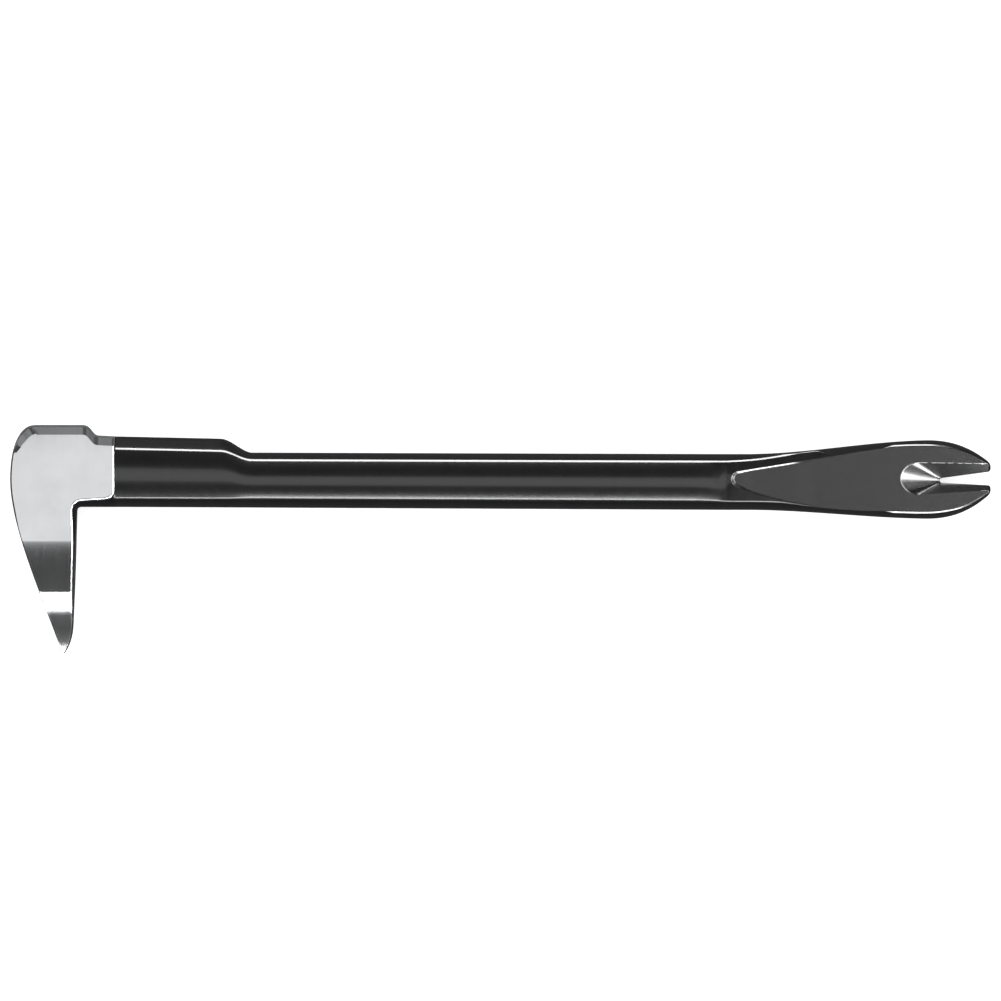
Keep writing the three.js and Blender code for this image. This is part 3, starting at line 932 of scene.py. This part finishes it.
def panel(name, centre, aim, size, radiance):
    """A soft light of a given size and surface brightness that only shows in reflections."""
    data = bpy.data.lights.new(name, "AREA")
    data.shape = "RECTANGLE"
    data.size, data.size_y = size
    data.energy = radiance * math.pi * size[0] * size[1]
    light = bpy.data.objects.new(name, data)
    light.location = centre
    light.rotation_euler = (Vector(aim) - Vector(centre)).to_track_quat("-Z", "Y").to_euler()
    light.visible_camera = False
    light.visible_diffuse = False
    bpy.context.scene.collection.objects.link(light)


def build_floor():
    mesh = bpy.data.meshes.new("floor")
    corners = [(x * FLOOR_HALF, y * FLOOR_HALF, 0) for x, y in ((-1, -1), (1, -1), (1, 1), (-1, 1))]
    mesh.from_pydata(corners, [], [(0, 1, 2, 3)])
    floor = bpy.data.objects.new("floor", mesh)
    bpy.context.scene.collection.objects.link(floor)
    material, nodes, links = shader("floor")
    surface = nodes["Principled BSDF"]
    surface.inputs["Roughness"].default_value = 0.9
    path = nodes.new("ShaderNodeLightPath")
    shade = nodes.new("ShaderNodeMix")
    shade.data_type = "RGBA"
    shade.inputs["A"].default_value = FLOOR_PALE
    shade.inputs["B"].default_value = FLOOR_IN_GLOSS
    links.new(path.outputs["Is Glossy Ray"], shade.inputs["Factor"])
    links.new(shade.outputs["Result"], surface.inputs["Base Color"])
    glow = nodes.new("ShaderNodeMath")
    glow.operation = "MULTIPLY"
    glow.inputs[1].default_value = FLOOR_GLOW
    links.new(path.outputs["Is Camera Ray"], glow.inputs[0])
    links.new(glow.outputs["Value"], surface.inputs["Emission Strength"])
    surface.inputs["Emission Color"].default_value = (1, 1, 1, 1)
    mesh.materials.append(material)


def build_room():
    """Pale to the eye and to the floor. In reflections the ceiling is dark and the walls are dim."""
    world = bpy.data.worlds.new("studio")
    world.use_nodes = True
    bpy.context.scene.world = world
    nodes, links = world.node_tree.nodes, world.node_tree.links
    direction = nodes.new("ShaderNodeTexCoord")
    split = nodes.new("ShaderNodeSeparateXYZ")
    links.new(direction.outputs["Generated"], split.inputs["Vector"])
    walls = ranged(nodes, links, split.outputs["Z"], (0, WALL_HEIGHT), WALL_IN_GLOSS)
    path = nodes.new("ShaderNodeLightPath")
    strength = nodes.new("ShaderNodeMix")
    strength.inputs["A"].default_value = ROOM_LIGHT
    links.new(walls, strength.inputs["B"])
    links.new(path.outputs["Is Glossy Ray"], strength.inputs["Factor"])
    links.new(strength.outputs["Result"], nodes["Background"].inputs["Strength"])
    nodes["Background"].inputs["Color"].default_value = (1, 1, 1, 1)


def build_studio():
    build_floor()
    build_room()
    head, blade = (-0.13, 0.03, 0), (0.12, 0.017, 0)
    panel("overhead", (-0.06, 0.02, 1.2), (-0.06, 0.02, 0), (0.68, 0.4), 1.1)
    panel("blade_glow", (0.42, 0.02, 1.2), (0.42, 0.02, 0), (0.28, 0.4), 0.55)
    panel("upper_strip", (0.035, 1.0, 0.67), (0.035, 0, 0), (0.73, 0.25), 22)
    panel("lower_strip", (-0.05, -0.71, 0.97), (-0.05, 0, 0), (0.8, 0.15), 16)
    panel("blade_strip", (0.46, -0.77, 0.97), (0.44, 0, 0), (0.36, 0.28), 32)
    panel("pocket_box", (0.74, -0.07, 0.97), blade, (0.24, 0.15), 30)
    panel("nose_box", (0.58, 0.0, 0.97), blade, (0.8, 0.13), 20)
    panel("head_strip", (-0.22, 1.2, 0.2), head, (0.3, 0.14), 0.22)
    panel("far_glow", (-1.0, 0.9, 0.5), head, (0.9, 0.66), 0.3)


def build_camera():
    data = bpy.data.cameras.new("camera")
    data.lens = LENS
    data.sensor_width = SENSOR
    camera = bpy.data.objects.new("camera", data)
    distance = (RIGHT - LEFT) * MM / FRAME_SHARE * LENS / SENSOR
    camera.location = (VIEW_X, VIEW_Y, MID_Z * MM + VIEW_RISE + distance)
    bpy.context.scene.collection.objects.link(camera)
    bpy.context.scene.camera = camera
    data.clip_end = 20
    bpy.context.scene.view_settings.view_transform = "Standard"


build_camera()
build_studio()
coating, steel = black_coating(), ground_steel()
for piece, node, slot, finish in (
    (build_head(), "claw_head", "ground_steel", steel),
    (build_shank(), "shank", "black_coating", coating),
    (build_blade(), "notched_blade", "black_coating", coating),
):
    piece.data.materials.append(finish)
    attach(piece, "root")
    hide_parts(node)
